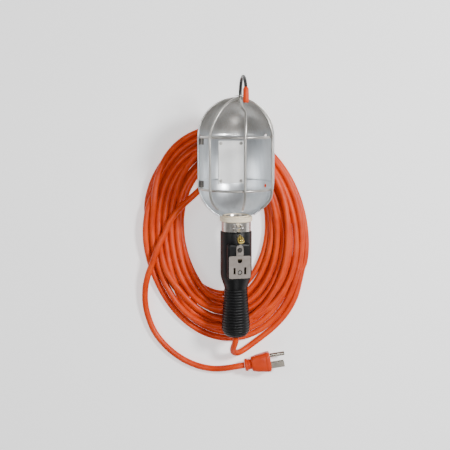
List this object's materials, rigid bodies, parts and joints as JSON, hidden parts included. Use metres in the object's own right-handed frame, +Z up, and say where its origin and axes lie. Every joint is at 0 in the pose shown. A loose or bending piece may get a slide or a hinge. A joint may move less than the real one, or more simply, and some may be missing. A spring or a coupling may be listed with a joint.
{
  "type": "work light",
  "caption": "Hand-held caged work light: half reflector with hinged wire guard, rubber handle with outlet and toggle, swivel hook, and a coiled orange mains cord with plug.",
  "frame": {"origin": "on the floor plane under the ribbed grip, on the underside of the cord coil that the light lies on", "axes": "+Y from the grip towards the hook, +Z up and out of the open front of the guard, +X to the right seen from above with the hook away"},
  "size_m": [0.206, 0.3497, 0.1157],
  "materials": {
    "galvanised_steel": "satin galvanised sheet",
    "zinc_wire": "bright zinc plated wire",
    "zinc_hardware": "zinc plated",
    "nickel": "nickel plated sheet",
    "brass": "turned brass",
    "white_plate": "plain white plate",
    "cream_insulator": "moulded cream insulator",
    "black_wire": "black coated wire",
    "orange_vinyl": "dipped vinyl",
    "orange_cord": "smooth vinyl cord jacket",
    "orange_plug": "moulded vinyl",
    "black_rubber": "satin black rubber",
    "phenolic": "moulded phenolic",
    "outlet_face": "tan-grey fibre plate",
    "lead_black": "insulated lead",
    "lead_white": "insulated lead",
    "lead_green": "insulated lead"
  },
  "bodies": {
    "light": {"blade_line": "brass", "blade_neutral": "brass", "centre_contact": "brass", "clamp_band": "nickel", "clamp_nut": "zinc_hardware", "clamp_screw": "zinc_hardware", "contact_ground": "brass", "contact_line": "brass", "contact_neutral": "brass", "cord_clamp": "zinc_hardware", "cord_coil": "orange_cord", "cord_in_handle": "orange_cord", "cord_lead": "orange_cord", "cord_tail": "orange_cord", "face_rivet": "zinc_hardware", "ground_pin": "brass", "handle_body": "black_rubber", "hinge_lug_lower": "zinc_wire", "hinge_lug_upper": "zinc_wire", "hook_retainer": "zinc_hardware", "hook_washer": "zinc_hardware", "insulating_sleeve": "cream_insulator", "lead_ground": "lead_green", "lead_line": "lead_black", "lead_neutral": "lead_white", "lead_switched": "lead_black", "mounting_strap": "nickel", "neck_strap": "galvanised_steel", "plate_rivet_high_left": "zinc_hardware", "plate_rivet_high_right": "zinc_hardware", "plate_rivet_low_left": "zinc_hardware", "plate_rivet_low_right": "zinc_hardware", "plug_body": "orange_plug", "rating_plate": "white_plate", "receptacle_body": "phenolic", "receptacle_face": "outlet_face", "reflector_shield": "galvanised_steel", "screw_shell": "brass", "socket_body": "cream_insulator", "strap_screw": "nickel", "switch_body": "phenolic", "switch_bushing": "nickel", "switch_nut": "nickel"},
    "guard_door": {"guard_ring_lower": "zinc_wire", "guard_ring_upper": "zinc_wire", "guard_side_wire": "zinc_wire", "guard_centre_wire": "zinc_wire", "latch_plate": "zinc_wire"},
    "hook": {"swivel_hook": "black_wire", "hook_tip_sleeve": "orange_vinyl"},
    "toggle": {"switch_toggle": "brass"}
  },
  "joints": [
    {"name": "door_hinge", "type": "hinge", "parent": "light", "child": "guard_door", "pos_m": [-0.0401, 0.18054, 0.07462], "axis": [0, -0.9898, -0.1426], "range_deg": [0, 90]},
    {"name": "hook_swivel", "type": "hinge", "parent": "light", "child": "hook", "pos_m": [0.00475, 0.25592, 0.07034], "axis": [0, 0.9898, 0.1426], "continuous": true},
    {"name": "switch_lever", "type": "hinge", "parent": "light", "child": "toggle", "pos_m": [0.00437, 0.0969, 0.07312], "axis": [-0.9763, -0.0309, 0.2142], "range_deg": [0, 28]}
  ]
}
